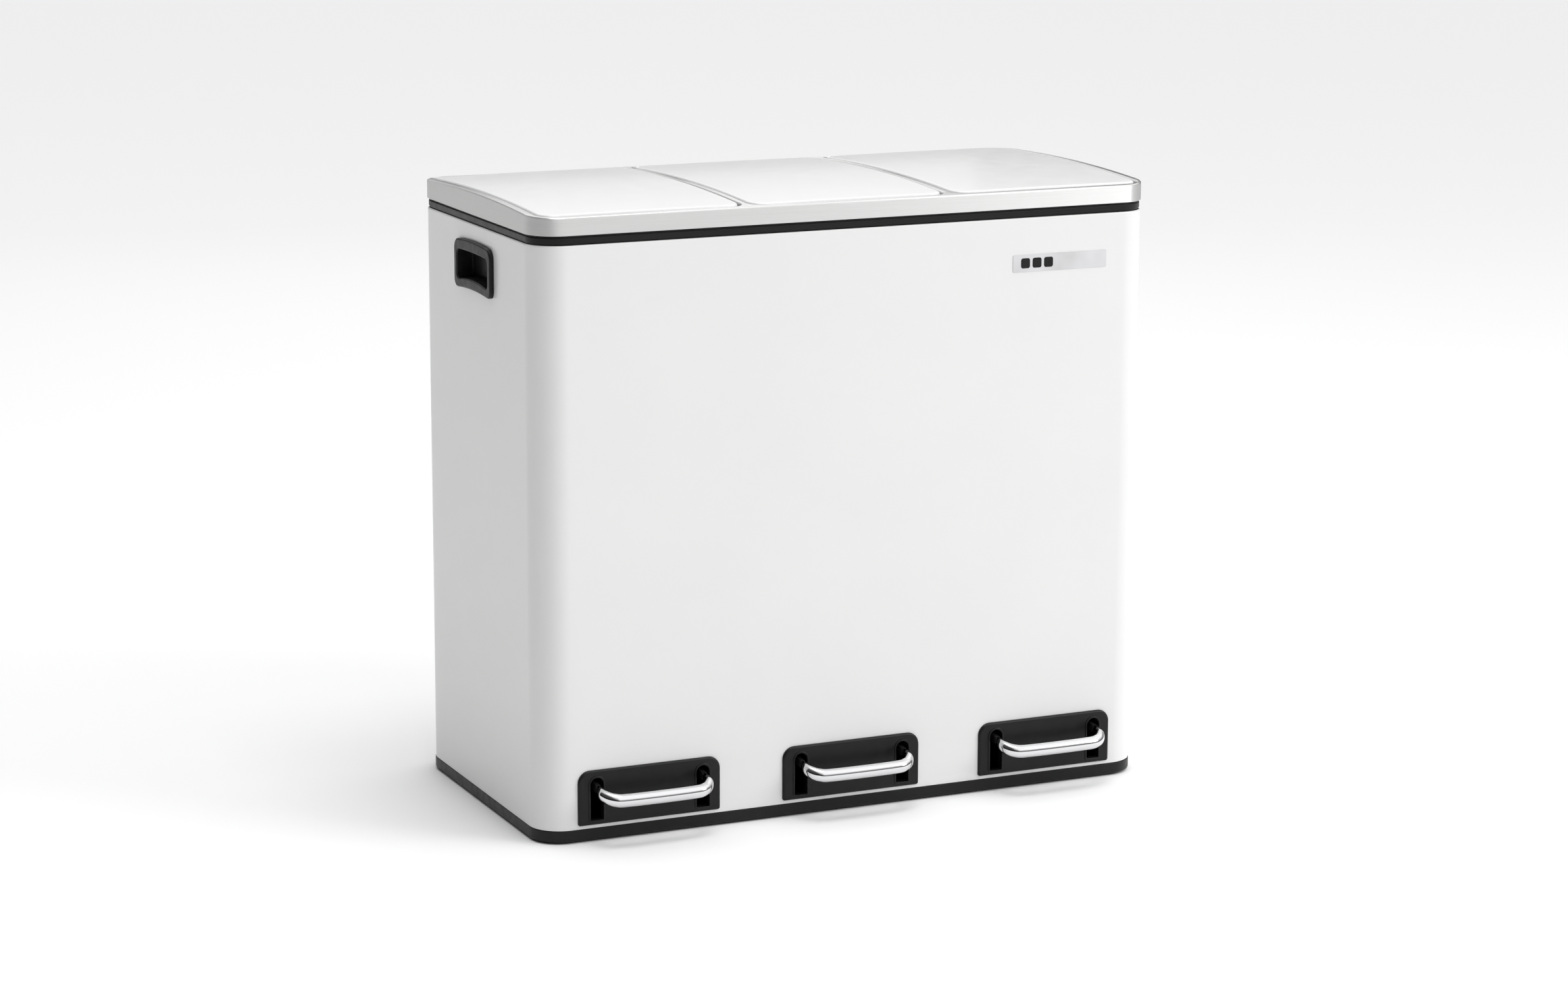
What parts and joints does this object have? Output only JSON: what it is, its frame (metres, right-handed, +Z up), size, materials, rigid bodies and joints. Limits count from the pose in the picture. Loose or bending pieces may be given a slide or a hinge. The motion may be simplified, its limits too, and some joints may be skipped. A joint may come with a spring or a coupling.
{
  "type": "pedal recycling bin",
  "caption": "Free-standing white steel recycling bin with buckets side by side, each under its own domed steel-framed lid that a chrome foot pedal opens.",
  "frame": {"origin": "on the floor, under the middle of the whole object's box, pedals included", "axes": "+X to the right seen from the pedals, along the longest side; +Y away from the pedals; +Z up"},
  "size_m": [0.597, 0.3267, 0.5512],
  "materials": {
    "white_paint": "satin white powder coat",
    "brushed_steel": "brushed along the long sides",
    "black_plastic": "finely textured moulding",
    "bucket_plastic": "textured moulding",
    "chrome": "polished",
    "zinc_steel": "zinc plated, dull",
    "black_steel": "thin black paint",
    "rubber": "matt",
    "badge_plastic": "satin"
  },
  "bodies": {
    "cabinet": {"body_shell": "white_paint", "base_tray": "black_plastic", "bucket_deck": "black_plastic", "collar": "black_plastic", "top_frame": "brushed_steel", "side_grip_left": "black_plastic", "side_grip_right": "black_plastic", "badge": "badge_plastic", "foot_pad_1": "rubber", "foot_pad_2": "rubber", "foot_pad_3": "rubber", "foot_pad_4": "rubber", "base_screw_1": "zinc_steel", "base_screw_2": "zinc_steel", "base_screw_3": "zinc_steel", "base_screw_4": "zinc_steel", "lid_damper_left": "bucket_plastic", "lid_bumper_left_1": "rubber", "lid_bumper_left_2": "rubber", "bucket_left": "bucket_plastic", "rod_guide_left": "bucket_plastic", "pedal_plate_left": "black_plastic", "pedal_axle_left": "zinc_steel", "lid_damper_middle": "bucket_plastic", "lid_bumper_middle_1": "rubber", "lid_bumper_middle_2": "rubber", "bucket_middle": "bucket_plastic", "rod_guide_middle": "bucket_plastic", "pedal_plate_middle": "black_plastic", "pedal_axle_middle": "zinc_steel", "lid_damper_right": "bucket_plastic", "lid_bumper_right_1": "rubber", "lid_bumper_right_2": "rubber", "bucket_right": "bucket_plastic", "rod_guide_right": "bucket_plastic", "pedal_plate_right": "black_plastic", "pedal_axle_right": "zinc_steel"},
    "lid_left": {"lid_shell_left": "white_paint", "lid_liner_left": "black_plastic", "lid_pin_left": "zinc_steel"},
    "rod_left": {"push_rod_left": "zinc_steel"},
    "pedal_left": {"pedal_lever_left": "black_steel", "pedal_bar_left": "chrome"},
    "lid_middle": {"lid_shell_middle": "white_paint", "lid_liner_middle": "black_plastic", "lid_pin_middle": "zinc_steel"},
    "rod_middle": {"push_rod_middle": "zinc_steel"},
    "pedal_middle": {"pedal_lever_middle": "black_steel", "pedal_bar_middle": "chrome"},
    "lid_right": {"lid_shell_right": "white_paint", "lid_liner_right": "black_plastic", "lid_pin_right": "zinc_steel"},
    "rod_right": {"push_rod_right": "zinc_steel"},
    "pedal_right": {"pedal_lever_right": "black_steel", "pedal_bar_right": "chrome"}
  },
  "joints": [
    {"name": "lid_hinge_left", "type": "hinge", "parent": "cabinet", "child": "lid_left", "pos_m": [-0.194, 0.14, 0.5385], "axis": [-1, 0, 0], "range_deg": [0, 72]},
    {"name": "rod_slide_left", "type": "slide", "parent": "cabinet", "child": "rod_left", "axis": [0, 0, 1], "range_m": [0, 0.0175]},
    {"name": "pedal_pivot_left", "type": "hinge", "parent": "cabinet", "child": "pedal_left", "pos_m": [-0.194, -0.004, 0.042], "axis": [1, 0, 0], "range_deg": [0, 7.7]},
    {"name": "lid_hinge_middle", "type": "hinge", "parent": "cabinet", "child": "lid_middle", "pos_m": [0, 0.14, 0.5385], "axis": [-1, 0, 0], "range_deg": [0, 72]},
    {"name": "rod_slide_middle", "type": "slide", "parent": "cabinet", "child": "rod_middle", "axis": [0, 0, 1], "range_m": [0, 0.0175]},
    {"name": "pedal_pivot_middle", "type": "hinge", "parent": "cabinet", "child": "pedal_middle", "pos_m": [0, -0.004, 0.042], "axis": [1, 0, 0], "range_deg": [0, 7.7]},
    {"name": "lid_hinge_right", "type": "hinge", "parent": "cabinet", "child": "lid_right", "pos_m": [0.194, 0.14, 0.5385], "axis": [-1, 0, 0], "range_deg": [0, 72]},
    {"name": "rod_slide_right", "type": "slide", "parent": "cabinet", "child": "rod_right", "axis": [0, 0, 1], "range_m": [0, 0.0175]},
    {"name": "pedal_pivot_right", "type": "hinge", "parent": "cabinet", "child": "pedal_right", "pos_m": [0.194, -0.004, 0.042], "axis": [1, 0, 0], "range_deg": [0, 7.7]}
  ],
  "couplings": [
    {"joint": "rod_slide_left", "follows": "lid_hinge_left", "m_per_rad": 0.013876},
    {"joint": "pedal_pivot_left", "follows": "lid_hinge_left", "ratio": 0.10544},
    {"joint": "rod_slide_middle", "follows": "lid_hinge_middle", "m_per_rad": 0.013876},
    {"joint": "pedal_pivot_middle", "follows": "lid_hinge_middle", "ratio": 0.10544},
    {"joint": "rod_slide_right", "follows": "lid_hinge_right", "m_per_rad": 0.013876},
    {"joint": "pedal_pivot_right", "follows": "lid_hinge_right", "ratio": 0.10544}
  ]
}
